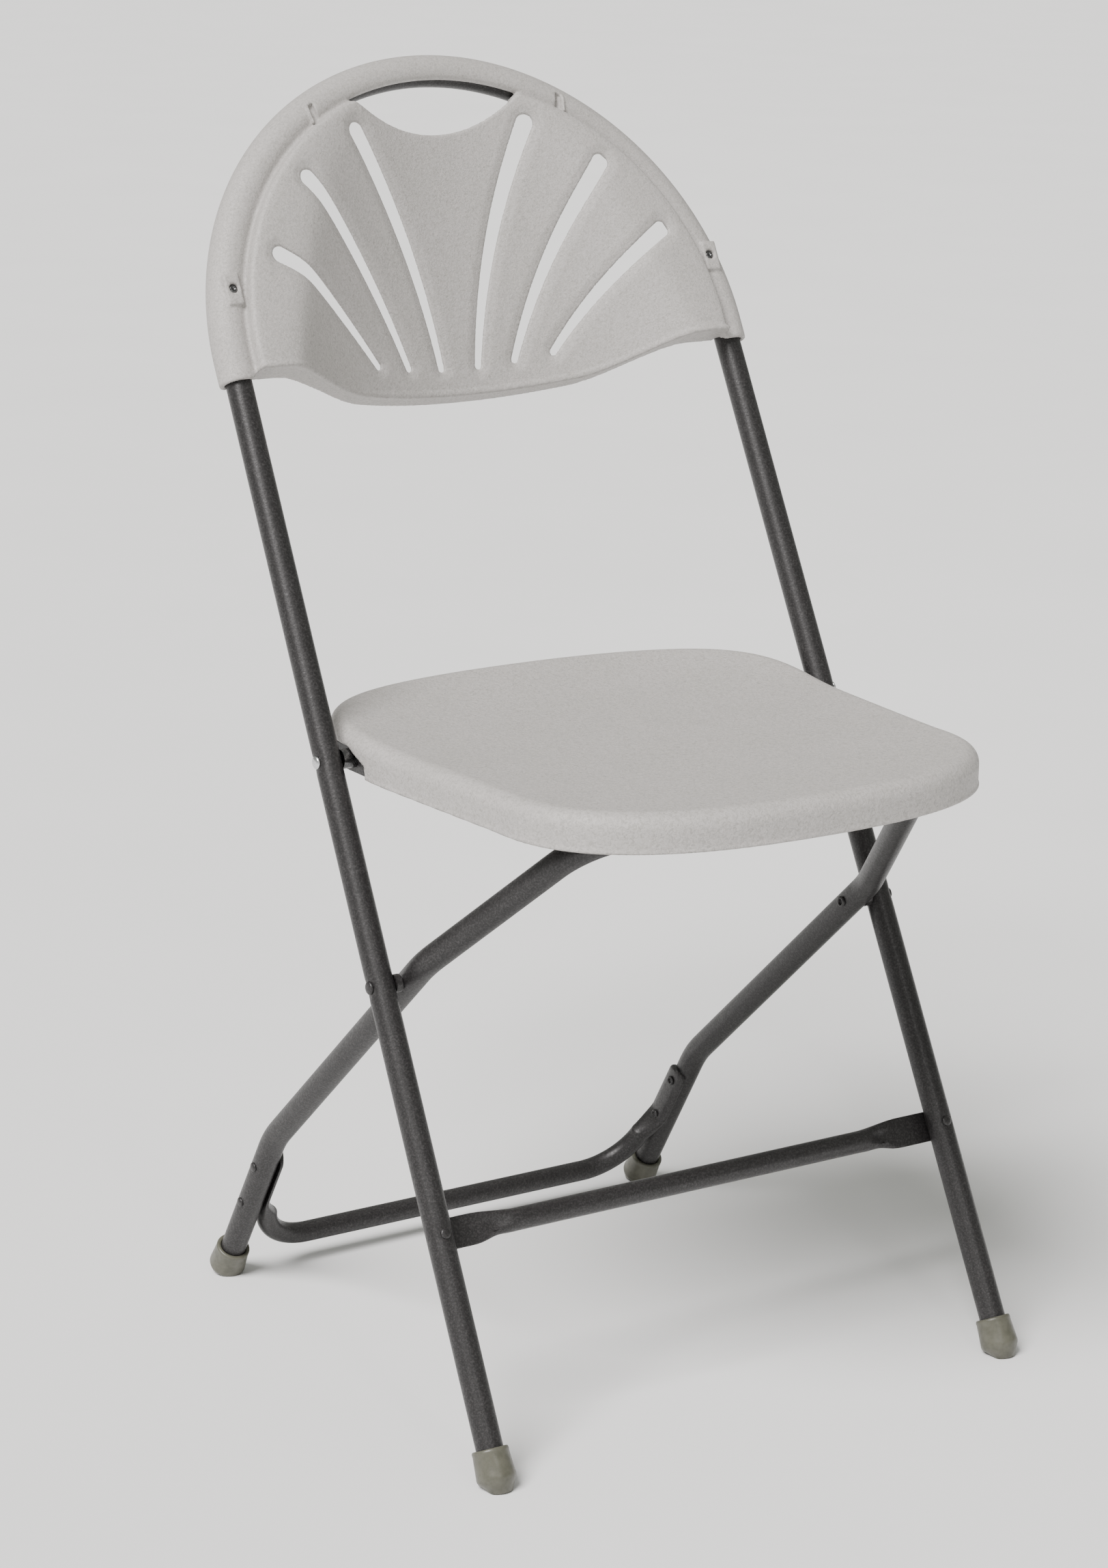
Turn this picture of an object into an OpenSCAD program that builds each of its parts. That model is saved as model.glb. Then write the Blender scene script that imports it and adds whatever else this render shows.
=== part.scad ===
// Folding chair: leaning arch frame, crossing rear leg frame, flip-up seat and fan back.
// Millimetres, +Z up, the sitter faces -Y. The origin is on the floor, at the centre of the
// chair's footprint box.

/* [Frame tubes] */
// Outer diameter of both bent tube frames
tube_d = 19.05; // [18:0.05:20]
// Wall of every steel tube
tube_wall = 1.2; // [1:0.1:1.6]
// Angle of the main frame from the vertical
lean = 28; // [26:0.5:30]
// Half distance between the main tubes at the floor
foot_half = 217; // [212:1:222]
// Radius of the arch over the back, to the tube's axis
arch_r = 210; // [208:1:212]
// Distance up the main frame to the centre of the arch
arch_centre = 797; // [780:1:810]

/* [Rear legs] */
// Half distance between the rear legs
rear_half = 190; // [188:0.5:191]
// Angle from the vertical of the rear legs at the pivot
rear_lean = 47.4; // [46:0.1:49]
// Angle from the vertical of the rear legs below the knee
shin_lean = 30.7; // [29:0.1:32]
// Distance from the pivot down to the knee
knee_drop = 260; // [250:1:270]
// Distance from the pivot up to the bend where the legs close in
neck_rise = 25.5; // [24:0.5:30]
// Angle by which the upper legs close in
neck_angle = 18; // [16:0.5:20]
// Distance from the pivot up to the axis of the top cross bar
bar_rise = 184; // [180:1:188]

/* [Pivots] */
// Distance up the main frame to the rear leg pivot
leg_pivot_s = 348; // [344:1:352]
// Distance up the main frame to the seat pivot
seat_pivot_s = 508; // [504:1:512]
// Diameter of the pivot rivets
pivot_d = 6.4; // [6:0.1:7]
// Radial gap around a rivet in a part that turns on it
running_gap = 0.06; // [0.03:0.01:0.1]

/* [Braces] */
// Diameter of both cross braces
brace_d = 16; // [14:0.5:17]
// Distance up the main frame to the front brace
front_brace_s = 174; // [165:1:185]
// Distance up the rear legs to the rear brace
rear_brace_q = 26.5; // [26:0.5:32]
// Bend radius of the rear brace
rear_brace_r = 46; // [40:1:50]
// Diameter of the brace rivets
brace_rivet_d = 4.8; // [4:0.1:5.5]

/* [Seat] */
// Height of the seat's front rim above the floor
seat_top = 464.5; // [462:0.5:468]
// Height of the bottom of the seat's skirt
skirt_bottom = 437; // [435:0.5:440]
// Wall of the seat and back mouldings
shell_wall = 3; // [2.5:0.1:3.5]
// Half width of the seat near the front corners
seat_front_half = 187; // [183:1:190]
// Half width of the seat beside the pivots
seat_rear_half = 198; // [196:0.5:198.5]
// Depth of the hollow of the seat
seat_dish = 5; // [3:0.5:6]
// Rise of the seat's rear lip
seat_lip = 10; // [6:1:12]

/* [Back] */
// Outer radius of the moulded rim around the arch tube
rim_r = 14; // [13.5:0.5:15]
// Depth of the hollow of the back at its lower edge
back_dish = 42; // [36:1:44]

/* [Feet] */
// Diameter of the foot caps at their widest
cap_d = 27.5; // [26:0.5:29]
// Distance up the leg to the cap's rim
cap_rim = 28; // [26:1:30]

/* [Hidden] */
$fn = 64;

charcoal = "#4a4749";
light_grey = "#bcb7b3";
olive_grey = "#83836f";
zinc = "#c9cdc9";

tube_r = tube_d / 2;
pivot_r = pivot_d / 2;
brace_r = brace_d / 2;
brace_rivet_r = brace_rivet_d / 2;
snug = 0.03;    // radial gap around a fixed rivet, screw or cap
tiny = 0.2;     // gap between faces that slide past each other

// Main frame: the legs spread by this angle from the arch down to the floor
spread = atan((foot_half - arch_r) / arch_centre);
leg_end = 7;    // distance up the leg to the tube's sawn end inside its foot cap
function main_half(s) = foot_half - s * tan(spread);
function on_frame_y(s) = s * sin(lean);
function on_frame_z(s) = s * cos(lean);

leg_pivot = [on_frame_y(leg_pivot_s), on_frame_z(leg_pivot_s)];
seat_pivot = [on_frame_y(seat_pivot_s), on_frame_z(seat_pivot_s)];

// Rear leg frame: knee, foot and top cross bar in the plane through Y and Z
knee = [leg_pivot[0] + knee_drop * sin(rear_lean), leg_pivot[1] - knee_drop * cos(rear_lean)];
shin = knee[1] / cos(shin_lean);
rear_foot_y = knee[0] + shin * sin(shin_lean);
bar = [leg_pivot[0] - bar_rise * sin(rear_lean), leg_pivot[1] + bar_rise * cos(rear_lean)];
knee_r = 80;
neck_r = 70;
corner_r = 42;
knee_angle = rear_lean - shin_lean;
corner_angle = 90 - neck_angle;
neck_run = (bar_rise - neck_rise) / cos(neck_angle);
bar_half = rear_half - (bar_rise - neck_rise) * tan(neck_angle);
function tangent(r, turn) = r * tan(turn / 2);

// Seat outline: two half superellipses joined by straight sides
seat_front_y = 62;
seat_front_b = 114.5;
seat_rear_y = 230;
seat_rear_b = 115;
seat_power = 2.5;
seat_round = 12;
front_edge = seat_front_y - seat_front_b;

// The back's rearmost point and the chair's middle, from front edge to back
back_edge = on_frame_y(arch_centre + arch_r) + rim_r;
y_mid = (back_edge + front_edge) / 2;

// ---------------------------------------------------------------- frames of reference

// The main frame's own plane: X across, Y up the tubes, Z out of the plane's front
module main_plane() translate([0, -y_mid, 0]) rotate([90 - lean, 0, 0]) children();

// A point of the plane through Y and Z, with X along the chair's width
module side_point(p) translate([0, p[0] - y_mid, p[1]]) children();

// The shin plane of the rear legs: X across, Y up the shins, Z forward and down
module shin_plane() translate([0, rear_foot_y - y_mid, 0]) rotate([90 + shin_lean, 0, 0]) children();

// The seat's place: X across, Y back from the front feet, Z up from the floor
module seat_place() translate([0, -y_mid, 0]) children();

module across() rotate([0, 90, 0]) children();

module both_sides() {
    children();
    mirror([1, 0, 0]) children();
}

// ---------------------------------------------------------------- tube bending

// A solid rod bent as a bending machine does it: each step is
// [feed, roll about the rod's axis, bend, bend radius], and bends turn towards local X.
// A fine collar covers each place where a straight meets a bend.
joint_gap = 0.3;
collar_half = 0.6;
collar_rise = 0.04;

module bent_rod(steps, r, i = 0) {
    step = steps[i];
    start = i > 0 ? joint_gap : 0;
    bends = step[2] > 0;
    translate([0, 0, start]) cylinder(r = r, h = step[0] - start - (bends ? joint_gap : 0));
    if (bends) {
        gap_angle = joint_gap / step[3] * 180 / PI;
        translate([0, 0, step[0]]) rotate([0, 0, step[1]]) {
            collar(r);
            translate([step[3], 0, 0]) mirror([1, 0, 0]) rotate([90, 0, 0]) rotate([0, 0, gap_angle])
                rotate_extrude(angle = step[2] - 2 * gap_angle) translate([step[3], 0]) circle(r);
            translate([step[3] * (1 - cos(step[2])), 0, step[3] * sin(step[2])])
                rotate([0, step[2], 0]) {
                    collar(r);
                    bent_rod(steps, r, i + 1);
                }
        }
    }
}

module collar(r) translate([0, 0, -collar_half]) cylinder(r = r + collar_rise, h = 2 * collar_half);

// The same steps with the first and last feeds run on past the ends
function run_on(steps, extra) = [for (i = [0:len(steps) - 1])
    [steps[i][0] + (i == 0 || i == len(steps) - 1 ? extra : 0), steps[i][1], steps[i][2], steps[i][3]]];

module bent_tube(steps, r, wall) difference() {
    bent_rod(steps, r);
    translate([0, 0, -1]) bent_rod(run_on(steps, 1), r - wall);
}

// ---------------------------------------------------------------- main frame

arch_turn = 180 - 2 * spread;
arch_end = arch_centre + arch_r * sin(spread);
leg_run = (arch_end - leg_end) / cos(spread);

module main_frame_tube() color(charcoal) difference() {
    main_plane() translate([-main_half(leg_end), leg_end, 0]) rotate([-90, 0, -spread])
        bent_tube([[leg_run, 0, arch_turn, arch_r], [leg_run, 0, 0, 0]], tube_r, tube_wall);
    side_point(leg_pivot) pivot_bore(pivot_r + snug);
    side_point(seat_pivot) pivot_bore(pivot_r + snug);
    main_plane() both_sides() {
        translate([main_half(front_brace_s), front_brace_s, -tube_d])
            cylinder(r = brace_rivet_r + snug, h = 2 * tube_d);
        translate([pad_x, pad_s, 0]) cylinder(r = back_screw_r + snug, h = tube_d);
    }
}

module pivot_bore(r) both_sides() translate([rear_half - tube_d, 0, 0]) across()
    cylinder(r = r, h = 3 * tube_d);

module front_cross_brace() color(charcoal) main_plane() translate([0, front_brace_s, front_brace_n])
    difference() {
        union() {
            translate([-front_round_half, 0, 0]) across() difference() {
                cylinder(r = brace_r, h = 2 * front_round_half);
                translate([0, 0, tube_wall])
                    cylinder(r = brace_r - tube_wall, h = 2 * (front_round_half - tube_wall));
            }
            both_sides() {
                hull() {
                    translate([front_round_half, 0, 0]) across() cylinder(r = brace_r, h = 0.5, $fn = 32);
                    translate([front_flat_half, -flat_w / 2, -flat_t / 2]) cube([1, flat_w, flat_t]);
                }
                translate([front_flat_half, -flat_w / 2, -flat_t / 2])
                    cube([front_brace_half - front_flat_half, flat_w, flat_t]);
            }
        }
        both_sides() translate([main_half(front_brace_s), 0, -flat_t])
            cylinder(r = brace_rivet_r + snug, h = 2 * flat_t);
    }

flat_w = 22;
flat_t = 2.6;
front_brace_n = -tube_r - flat_t / 2 - snug;
front_brace_half = foot_half + 3;
front_flat_half = 186;
front_round_half = 148;

// A rivet along Z: shank from z0 to z1 with a domed head above z1 and a formed head below z0
module rivet(r, head_r, z0, z1) {
    translate([0, 0, z0]) cylinder(r = r, h = z1 - z0);
    translate([0, 0, z1]) dome(head_r, head_r * 0.45);
    translate([0, 0, z0]) mirror([0, 0, 1]) cylinder(r = head_r * 0.8, h = 1.2);
}

// A domed head: a slice of a ball with base radius r and height h
module dome(r, h) {
    ball_r = (r * r + h * h) / (2 * h);
    intersection() {
        translate([0, 0, h - ball_r]) sphere(ball_r);
        cylinder(r = r, h = h);
    }
}

module front_brace_rivets() color(charcoal) main_plane() both_sides()
    translate([main_half(front_brace_s), front_brace_s, 0])
        rivet(brace_rivet_r, 3.8, front_brace_n - flat_t / 2 - snug, tube_r);

// A foot cap around a leg end: the leg's axis meets the floor at the local origin
module foot_cap(tilt, toe) {
    top_r = tube_r + 2.8;
    wide_r = cap_d / 2;
    sole_r = 8.5;
    wide_z = 8;
    difference() {
        rotate([tilt, 0, 0]) rotate([0, toe, 0]) rotate_extrude() polygon([
            [0, -3], [sole_r, -3], [wide_r, wide_z], [top_r + 0.4, cap_rim - 1.5],
            [top_r - 0.4, cap_rim], [tube_r + snug, cap_rim],
            [tube_r + snug, leg_end - snug], [0, leg_end - snug]]);
        translate([-cap_d, -cap_d, -2 * cap_d]) cube(2 * cap_d);
    }
}

module front_foot(side) color(olive_grey)
    translate([side * foot_half, -y_mid, 0]) foot_cap(-lean, -side * spread);

module rear_foot(side) color(olive_grey)
    translate([side * rear_half, rear_foot_y - y_mid, 0]) foot_cap(shin_lean, 0);

// ---------------------------------------------------------------- pivots, on the main frame

pivot_head_r = 4.7;
tail_r = 4.3;
tail_t = 1.6;

// A pivot rivet along X at the right side: head outside the main tube, tail at x_in
module pivot_rivet(x_out, x_in) {
    translate([x_in - tail_t, 0, 0]) across() cylinder(r = pivot_r, h = x_out - x_in + tail_t + 0.5);
    translate([x_out, 0, 0]) across() dome(pivot_head_r, 2.2);
    translate([x_in - tail_t, 0, 0]) across() cylinder(r = tail_r, h = tail_t);
}

module leg_pivot_rivet(side) color(charcoal) side_point(leg_pivot) mirror([side < 0 ? 1 : 0, 0, 0])
    pivot_rivet(main_half(leg_pivot_s) + tube_r, rear_half - tube_r - tiny);

module seat_pivot_rivet(side) color(zinc) side_point(seat_pivot) mirror([side < 0 ? 1 : 0, 0, 0])
    pivot_rivet(main_half(seat_pivot_s) + tube_r, bracket_x - bracket_t - tiny);

// A washer along X between x0 and x1
module washer(x0, x1, r) translate([x0, 0, 0]) across() difference() {
    cylinder(r = r, h = x1 - x0);
    translate([0, 0, -1]) cylinder(r = pivot_r + snug, h = x1 - x0 + 2);
}

module leg_pivot_spacer(side) color(charcoal) side_point(leg_pivot) mirror([side < 0 ? 1 : 0, 0, 0])
    washer(rear_half + tube_r + tiny, main_half(leg_pivot_s) - tube_r - snug, 6.5);

module seat_pivot_spacer(side) color(zinc) side_point(seat_pivot) mirror([side < 0 ? 1 : 0, 0, 0])
    washer(bracket_x + tiny, main_half(seat_pivot_s) - tube_r - snug, 7);

// ---------------------------------------------------------------- back

pad_s = 847;
pad_x = main_half(pad_s) - 5;
pad_w = 12;
pad_h = 22;
pad_n = rim_r + 1.5;
back_screw_r = 1.8;
screw_head_r = 3.4;
screw_sunk = 2.2;
screw_tip_n = 5;
screw_head_t = 1.6;

// How far the panel stands in front of the frame's plane at x across and s up the frame
slope_in = 0.28;
bowl = 0.0019;
crest_n = 22;
function panel_raw(x, s) = -back_dish + slope_in * (s - arch_centre) + bowl * x * x;
function soft_min(a, b, k) = (a + b - sqrt((a - b) * (a - b) + k * k)) / 2;
function panel_n(x, s) = soft_min(panel_raw(x, s), crest_n, 8);

// The panel's free lower lip: how high it is at x across
lip_half = 190;
lip_end = 10;
lip_drop = 24;
function lip_s(x) = arch_centre - lip_end - lip_drop * pow(cos(90 * x / (lip_half + 9)), 0.7);

// Stations along the arch tube, from the foot of the rim up, over and down again:
// [point of the tube's centreline, direction away from the arch's middle]
arch_steps = 36;
stations = arch_steps + 2;
rim_foot = 782;
function station(i) = i == 0 || i == stations
    ? let (side = i == 0 ? -1 : 1) [[side * arch_r, rim_foot], [side, 0]]
    : let (a = 180 * (1 - (i - 1) / arch_steps), out = [cos(a), sin(a)])
        [[0, arch_centre] + arch_r * out, out];

// The sheet's front and back faces where it wraps the tube: [distance in from the tube's
// centreline, n], from the crest between panel and rim to the rim's outer edge behind the tube
tube_clear_r = 10.6;
rim_angles = [110, 75, 40, 5, -30, -62];
function around(r) = [for (a = rim_angles) r * [-cos(a), sin(a)]];
wrap_front = concat([[12, crest_n], [9.5, 13.6]], around(rim_r));
wrap_back = concat([[12.6, crest_n - 3.4], [10.6, 9.5]], around(tube_clear_r));

function wrap_point(i, w) = let (p = station(i)[0] - w[0] * station(i)[1]) [p[0], p[1], w[1]];
function panel_point(i, t, depth) = let (
    x = lip_half * (2 * i / stations - 1),
    lip = [x, lip_s(x)],
    crest = station(i)[0] - wrap_front[0][0] * station(i)[1],
    p = lip + (crest - lip) * t
) [p[0], p[1], panel_n(p[0], p[1]) - depth];

// One face of the sheet as rows of points, from the lip to the rim's outer edge
panel_rows = 5;
function sheet_face(depth, wrap) = concat(
    [for (j = [0:panel_rows - 1]) for (i = [0:stations]) panel_point(i, j / panel_rows, depth)],
    [for (w = wrap) for (i = [0:stations]) wrap_point(i, w)]);

// The panel and the rim around the tube, one curved sheet of even thickness
module back_sheet() {
    rows = panel_rows + len(wrap_front) - 1;
    front = sheet_face(0, wrap_front);
    last = len(front);
    function at(i, j) = j * (stations + 1) + i;
    quads = [for (j = [0:rows - 1]) for (i = [0:stations - 1])
        [at(i, j), at(i, j + 1), at(i + 1, j + 1), at(i + 1, j)]];
    rim = concat(
        [for (i = [0:stations - 1]) [at(i, 0), at(i + 1, 0)]],
        [for (j = [0:rows - 1]) [at(stations, j), at(stations, j + 1)]],
        [for (i = [stations:-1:1]) [at(i, rows), at(i - 1, rows)]],
        [for (j = [rows:-1:1]) [at(0, j), at(0, j - 1)]]);
    polyhedron(
        points = concat(front, sheet_face(shell_wall, wrap_back)),
        faces = concat(
            quads,
            [for (q = quads) [for (k = [3:-1:0]) q[k] + last]],
            [for (e = rim) [e[0], e[1], e[1] + last, e[0] + last]]));
}

// One tapered, bowed slot of the fan: outer end, inner end, and widths there
slot_steps = 12;
cut_depth = 100;
module fan_slot(outer, inner, bow, w_outer, w_inner) {
    run = inner - outer;
    side = [run[1], -run[0]] / norm(run);
    function mid(t) = outer + run * t + side * bow * 4 * t * (1 - t);
    function half(t) = (w_outer + (w_inner - w_outer) * t) / 2;
    translate([0, 0, -cut_depth]) linear_extrude(2 * cut_depth) polygon(concat(
        [for (k = [0:slot_steps]) mid(k / slot_steps) + side * half(k / slot_steps)],
        [inner + run / norm(run) * w_inner / 2],
        [for (k = [slot_steps:-1:0]) mid(k / slot_steps) - side * half(k / slot_steps)],
        [outer - run / norm(run) * w_outer / 2]));
}

// The hand hold: the crescent between a scooped panel edge and the rim's crest
scoop_r = 110;
scoop_low = 162;
hold_top = 14.5;
module hand_hold() intersection() {
    translate([0, arch_centre + scoop_low + scoop_r, -cut_depth]) cylinder(r = scoop_r, h = 2 * cut_depth);
    translate([0, arch_centre, -cut_depth]) cylinder(r = arch_r - hold_top, h = 2 * cut_depth);
}

module back_shell() color(light_grey) main_plane() difference() {
    union() {
        back_sheet();
        both_sides() translate([pad_x - pad_w / 2, pad_s - pad_h / 2, tube_r + 1])
            cube([pad_w, pad_h, pad_n - tube_r - 1]);
    }
    hand_hold();
    both_sides() {
        fan_slot([163, 869], [76, 797], 5, 13, 6);
        fan_slot([125, 925], [46, 796], 7, 14, 6);
        fan_slot([72, 961], [16, 795], 8, 14, 6);
        translate([pad_x, pad_s, 0]) cylinder(r = back_screw_r + snug, h = 3 * rim_r);
        translate([pad_x, pad_s, pad_n - screw_sunk]) cylinder(r = screw_head_r + 0.3, h = rim_r);
    }
}

module back_screws() color(zinc) main_plane() both_sides() translate([pad_x, pad_s, 0]) {
    translate([0, 0, screw_tip_n]) cylinder(r = back_screw_r, h = pad_n - screw_sunk - screw_tip_n);
    translate([0, 0, pad_n - screw_sunk]) cylinder(r = screw_head_r, h = screw_head_t);
}

// ---------------------------------------------------------------- rear legs

function leg_steps(low) = let (
    shin_feed = low - tangent(knee_r, knee_angle),
    mid_feed = knee_drop + neck_rise - tangent(knee_r, knee_angle) - tangent(neck_r, neck_angle),
    neck_feed = neck_run - tangent(neck_r, neck_angle) - tangent(corner_r, corner_angle),
    bar_feed = 2 * (bar_half - tangent(corner_r, corner_angle))
) [
    [shin_feed, 0, knee_angle, knee_r],
    [mid_feed, 90, neck_angle, neck_r],
    [neck_feed, 0, corner_angle, corner_r],
    [bar_feed, 0, corner_angle, corner_r],
    [neck_feed, 0, neck_angle, neck_r],
    [mid_feed, -90, knee_angle, knee_r],
    [shin_feed, 0, 0, 0]
];

module rear_leg_frame() color(charcoal) difference() {
    shin_plane() translate([-rear_half, leg_end, 0]) rotate([-90, 0, 0]) rotate([0, 0, -90])
        bent_tube(leg_steps(shin - leg_end), tube_r, tube_wall);
    side_point(leg_pivot) pivot_bore(pivot_r + running_gap);
    rear_rivet_places() brace_rivet_bore();
}

rear_rivet_q = [82, 122];
strip_t = 3;
strip_x = rear_half - tube_r - snug;

module rear_rivet_places() shin_plane() both_sides() for (q = rear_rivet_q)
    translate([0, q, 0]) children();

module brace_rivet_bore() translate([rear_half - 2 * tube_r, 0, 0]) across()
    cylinder(r = brace_rivet_r + snug, h = 4 * tube_r);

strip_w = 20;
strip_low = 77.5;
strip_high = 134;
brace_turn_q = 73;
brace_line_x = strip_x - strip_t / 2 - 4.5;

module rear_cross_brace() color(charcoal) difference() {
    shin_plane() {
        rise = brace_turn_q - rear_brace_q - rear_brace_r;
        translate([-brace_line_x, brace_turn_q, 0]) rotate([90, 0, 0])
            bent_tube([[rise, 0, 90, rear_brace_r],
                       [2 * (brace_line_x - rear_brace_r), 0, 90, rear_brace_r],
                       [rise, 0, 0, 0]], brace_r, tube_wall);
        both_sides() {
            hull() {
                translate([brace_line_x, brace_turn_q, 0]) rotate([90, 0, 0])
                    cylinder(r = brace_r, h = 0.5, $fn = 32);
                translate([strip_x - strip_t, strip_low, -strip_w / 2]) cube([strip_t, 1, strip_w]);
            }
            translate([strip_x - strip_t, strip_low, -strip_w / 2])
                cube([strip_t, strip_high - strip_low, strip_w]);
        }
    }
    rear_rivet_places() brace_rivet_bore();
    shin_plane() both_sides() translate([rear_half, 0, 0]) rotate([-90, 0, 0])
        cylinder(r = tube_r + snug, h = 200);
}

module rear_brace_rivets() color(charcoal) rear_rivet_places()
    translate([rear_half, 0, 0]) across()
        rivet(brace_rivet_r, 3.8, -tube_r - strip_t - 2 * snug, tube_r);

// ---------------------------------------------------------------- seat

// Height of the seat's upper face above the rim's height, from the middle (k = 0) to the rim (k = 1)
function smooth(t) = let (u = min(1, max(0, t))) u * u * (3 - 2 * u);
function rear_rise(y) = seat_lip * smooth((y - seat_rear_y + 50) / (seat_rear_b + 50));
function top_z(y, k) = seat_top + rear_rise(y) * pow(k, 3) - seat_dish * (1 - k * k * k);

seat_steps = 26;
function superellipse(a, b, t) = [
    a * sign(cos(t)) * pow(abs(cos(t)), 2 / seat_power),
    b * sign(sin(t)) * pow(abs(sin(t)), 2 / seat_power)];
// The outline, drawn in by some distance and scaled by k about the seat's middle
seat_middle = [0, 140];
function seat_outline(in, k) = [for (i = [0:2 * seat_steps - 1]) let (
    t = 180 * i / seat_steps + 90 / seat_steps,
    rear = t < 180,
    p = rear
        ? [0, seat_rear_y] + superellipse(seat_rear_half - in, seat_rear_b - in, t)
        : [0, seat_front_y] + superellipse(seat_front_half - in, seat_front_b - in, t)
) seat_middle + (p - seat_middle) * k];

function seat_ring(in, k, drop) = [for (p = seat_outline(in, k)) [p[0], p[1], top_z(p[1], k) - drop]];
function skirt_ring(in) = [for (p = seat_outline(in, 1))
    [p[0], p[1], skirt_bottom + 0.7 * rear_rise(p[1])]];

// How far in and down from the rim the middle of the seat's rounded corner lies underneath
corner_in = 5.6;

// A solid through a list of rings of points, closed at both ends
module ring_solid(rings) {
    n = len(rings[0]);
    last = len(rings) - 1;
    polyhedron(
        points = [for (r = rings) for (p = r) p],
        faces = concat(
            [[for (i = [n - 1:-1:0]) i]],
            [for (j = [0:last - 1]) for (i = [0:n - 1])
                [j * n + i, j * n + (i + 1) % n, (j + 1) * n + (i + 1) % n, (j + 1) * n + i]],
            [[for (i = [0:n - 1]) last * n + i]]));
}

module seat_moulding() {
    corner = [for (a = [0:22.5:90])
        seat_ring(seat_round * (1 - sin(a)), 1, seat_round * (1 - cos(a)))];
    outer = [for (k = [0.05, 0.3, 0.55, 0.75, 0.9]) seat_ring(seat_round, k, 0)];
    inner = [for (k = [1, 0.9, 0.75, 0.55, 0.3, 0.05]) seat_ring(seat_round + 1, k, shell_wall)];
    under_corner = [seat_ring(shell_wall, 1, seat_round), seat_ring(corner_in, 1, corner_in)];
    ring_solid(concat(outer, corner, [skirt_ring(0)], [skirt_ring(shell_wall)], under_corner, inner));
}

// The openings in the skirt beside the frame tubes: the skirt's edges and the openings' top
notch_front = 216;
notch_rear = 338;
notch_side = 185;
notch_step_z = 447;
notch_top = 457;
notch_depth = 20;

module skirt_notch() translate([notch_side, 0, 0]) rotate([90, 0, 90]) linear_extrude(2 * notch_depth)
    polygon([[notch_front, skirt_bottom - notch_depth], [notch_front + 2, notch_step_z],
             [notch_front + notch_depth, notch_top], [notch_rear - 8, notch_top],
             [notch_rear, notch_step_z], [notch_rear, skirt_bottom - notch_depth]]);

// Steel under the seat
bracket_x = 192.4;
bracket_t = 2;
bracket_w = 24;
bracket_front = 212;
bracket_rear = 268;
bracket_low = 438.5;
bracket_top = 455;
corner_cut = 5;
rail_x = 92;
rail_half_w = 12;
rail_ear_w = 14;
rail_front = -6;
rail_rear = 196;
rail_top = 455;
rail_t = 1.5;
rail_low = bar[1] + tube_r + tiny;
stop_t = 2;
stop_drop = 3;

// The seat's screws and the bosses that they run into
bracket_screw_x = bracket_x - 14;
bracket_screw_y = [221, 260];
rail_screw_dx = rail_half_w + 6;
rail_screw_y = [10, 90, 180];
seat_screw_r = 2;
seat_screw_l = 4.5;
seat_head_r = 3.6;
seat_head_t = 1.6;
boss_r = 5;
seat_screw_places = concat(
    [for (y = bracket_screw_y) [bracket_screw_x, y]],
    [for (y = rail_screw_y) for (side = [-1, 1]) [rail_x + side * rail_screw_dx, y]]);

// Height of the middle of the seat's skin above a screw's place
seat_reach = seat_middle[1] - front_edge - seat_round;
function skin_z(p) = top_z(p[1], max(p[0] / (seat_rear_half - seat_round),
    abs(p[1] - seat_middle[1]) / seat_reach)) - shell_wall / 2;

module seat_shell() color(light_grey) seat_place() difference() {
    union() {
        seat_moulding();
        both_sides() for (p = seat_screw_places) translate([p[0], p[1], rail_top])
            cylinder(r = boss_r, h = skin_z(p) - rail_top);
    }
    both_sides() {
        skirt_notch();
        for (p = seat_screw_places) translate([p[0], p[1], rail_top - 2.5]) seat_screw_bore();
    }
}

// An angle bracket under the seat's edge: a plate beside the main tube and a flange on top
module seat_bracket(side) color(charcoal) mirror([side < 0 ? 1 : 0, 0, 0]) difference() {
    seat_place() {
        translate([bracket_x - bracket_t, 0, 0]) rotate([90, 0, 90]) linear_extrude(bracket_t)
            polygon([[bracket_front, bracket_low + corner_cut], [bracket_front + corner_cut, bracket_low],
                     [bracket_rear - 2 * corner_cut, bracket_low], [bracket_rear, bracket_low + corner_cut],
                     [bracket_rear, bracket_top], [bracket_front, bracket_top]]);
        translate([bracket_x - bracket_w, bracket_front, bracket_top - bracket_t])
            cube([bracket_w, bracket_rear - bracket_front, bracket_t]);
    }
    side_point(seat_pivot) translate([bracket_x - 2 * bracket_t, 0, 0]) across()
        cylinder(r = pivot_r + running_gap, h = 3 * bracket_t);
    seat_place() for (y = bracket_screw_y)
        translate([bracket_screw_x, y, bracket_top - 2 * bracket_t]) seat_screw_bore();
}

// A slide rail: a top-hat channel under the seat with a stop tab in front of the cross bar
module seat_slide_rail(side) color(charcoal) mirror([side < 0 ? 1 : 0, 0, 0]) seat_place()
    difference() {
        run = rail_rear - rail_front;
        union() {
            translate([rail_x - rail_half_w, rail_front, rail_low]) cube([2 * rail_half_w, run, rail_t]);
            for (s = [-1, 1]) {
                translate([rail_x + s * (rail_half_w - rail_t / 2) - rail_t / 2, rail_front, rail_low])
                    cube([rail_t, run, rail_top - rail_low]);
                translate([rail_x + s * (rail_half_w + rail_ear_w / 2 - rail_t) - rail_ear_w / 2,
                           rail_front, rail_top - rail_t])
                    cube([rail_ear_w, run, rail_t]);
            }
            translate([rail_x - rail_half_w, bar[0] - tube_r - tiny - stop_t, bar[1] - stop_drop])
                cube([2 * rail_half_w, stop_t, rail_low - bar[1] + stop_drop + rail_t / 2]);
        }
        for (y = rail_screw_y) for (s = [-1, 1])
            translate([rail_x + s * rail_screw_dx, y, rail_top - 2 * rail_t]) seat_screw_bore();
    }

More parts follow.
